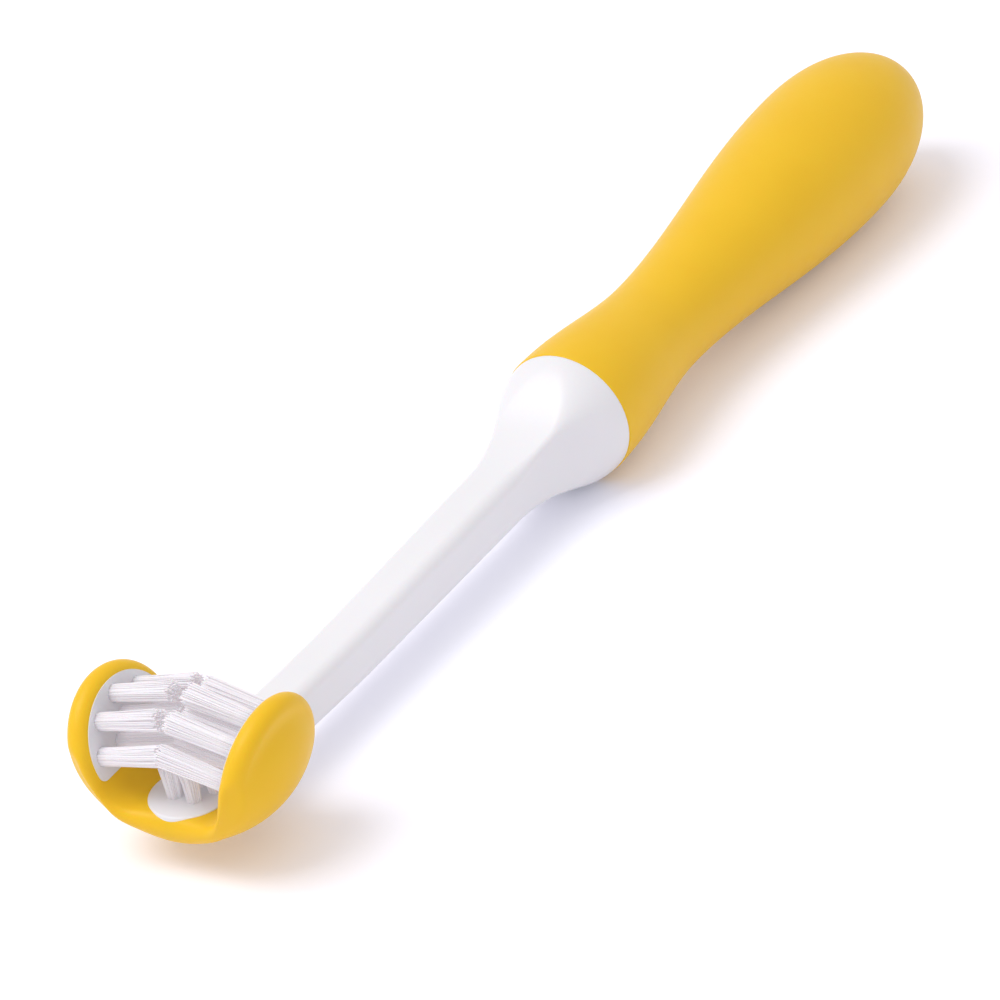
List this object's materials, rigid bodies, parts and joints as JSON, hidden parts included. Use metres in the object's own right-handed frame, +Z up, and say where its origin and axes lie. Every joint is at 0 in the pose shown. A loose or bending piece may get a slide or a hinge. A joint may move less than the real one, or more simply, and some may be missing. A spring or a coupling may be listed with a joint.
{
  "type": "pet toothbrush",
  "caption": "Pet toothbrush with a cradle head: soft wings with bristle plates flex round the tooth, on a square neck with a pear-shaped soft grip",
  "frame": {"origin": "middle of the bounding box, on the table", "axes": "+Y runs along the brush from the head to the grip's end, +Z is up and is the way the cradle opens, +X is across the cradle"},
  "size_m": [0.0256, 0.1783, 0.0211],
  "materials": {
    "soft_rubber": "satin yellow thermoplastic rubber, smooth, no texture",
    "hard_plastic": "smooth white polypropylene with a soft sheen",
    "nylon_bristle": "bundled soft nylon filaments, slightly translucent white",
    "anchor_wire": "bare flat anchor wire, hidden in the plates"
  },
  "bodies": {
    "brush": {"core": "hard_plastic", "grip_skin": "soft_rubber", "base_skin": "soft_rubber", "left_web": "soft_rubber", "right_web": "soft_rubber", "base_ring_tufts": "nylon_bristle", "base_middle_tuft": "nylon_bristle", "base_anchors": "anchor_wire"},
    "left_wing": {"left_wing_skin": "soft_rubber", "left_plate": "hard_plastic", "left_low_tufts": "nylon_bristle", "left_mid_tufts": "nylon_bristle", "left_top_tuft": "nylon_bristle", "left_inner_tufts": "nylon_bristle", "left_inner_top_tuft": "nylon_bristle", "left_anchors": "anchor_wire"},
    "right_wing": {"right_wing_skin": "soft_rubber", "right_plate": "hard_plastic", "right_low_tufts": "nylon_bristle", "right_mid_tufts": "nylon_bristle", "right_top_tuft": "nylon_bristle", "right_inner_tufts": "nylon_bristle", "right_inner_top_tuft": "nylon_bristle", "right_anchors": "anchor_wire"}
  },
  "joints": [
    {"name": "left_wing_flex", "type": "hinge", "parent": "brush", "child": "left_wing", "pos_m": [-0.00667, -0.08094, 0.00807], "axis": [0, -0.9996, -0.0282], "range_deg": [0, 25], "stiffness_Nm_per_rad": 0.02, "deforming": ["left_web"]},
    {"name": "right_wing_flex", "type": "hinge", "parent": "brush", "child": "right_wing", "pos_m": [0.00667, -0.08094, 0.00807], "axis": [0, 0.9996, 0.0282], "range_deg": [0, 25], "stiffness_Nm_per_rad": 0.02, "deforming": ["right_web"]}
  ]
}
